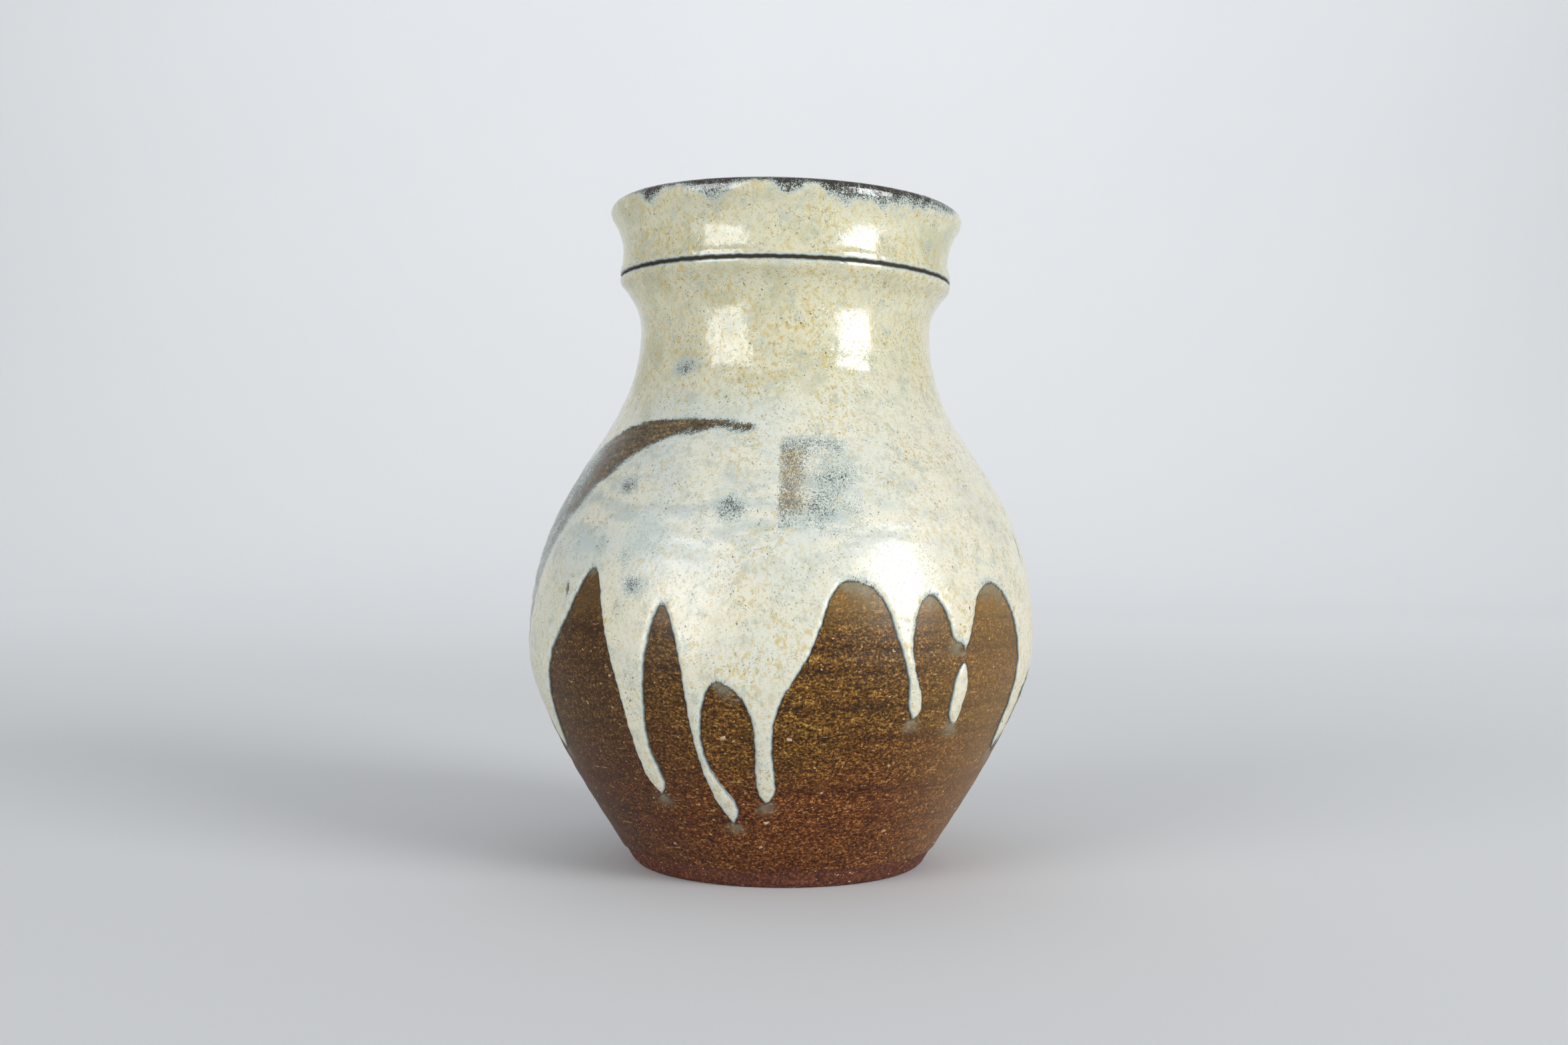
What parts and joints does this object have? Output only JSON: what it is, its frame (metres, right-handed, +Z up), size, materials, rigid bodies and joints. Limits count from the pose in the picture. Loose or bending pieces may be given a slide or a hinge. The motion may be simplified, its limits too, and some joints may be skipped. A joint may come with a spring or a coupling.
{
  "type": "pottery vase",
  "caption": "Round-bellied stoneware vase with a narrow neck, a ledged collar and a cream glaze that runs down over a brown one; holds flowers or stems.",
  "frame": {"origin": "centre of the foot, in the plane the vase stands on", "axes": "+Z up along the wheel axis; -Y is the front, with the long glaze runs; +X to the right seen from the front"},
  "size_m": [0.1242, 0.1242, 0.1611],
  "materials": {
    "bare_clay": "matte rust-red fired stoneware",
    "iron_glaze": "satin olive-brown iron glaze over gritty clay",
    "liner_glaze": "glossy dark brown",
    "cream_glaze": "satin-gloss mottled cream",
    "grog": "rough pale grit"
  },
  "bodies": {
    "root": {"clay_body": "bare_clay", "iron_glaze": "iron_glaze", "liner_glaze": "liner_glaze", "cream_glaze_body": "cream_glaze", "cream_glaze_collar": "cream_glaze", "cream_glaze_detached_run": "cream_glaze", "grog_chips": "grog"}
  },
  "joints": []
}
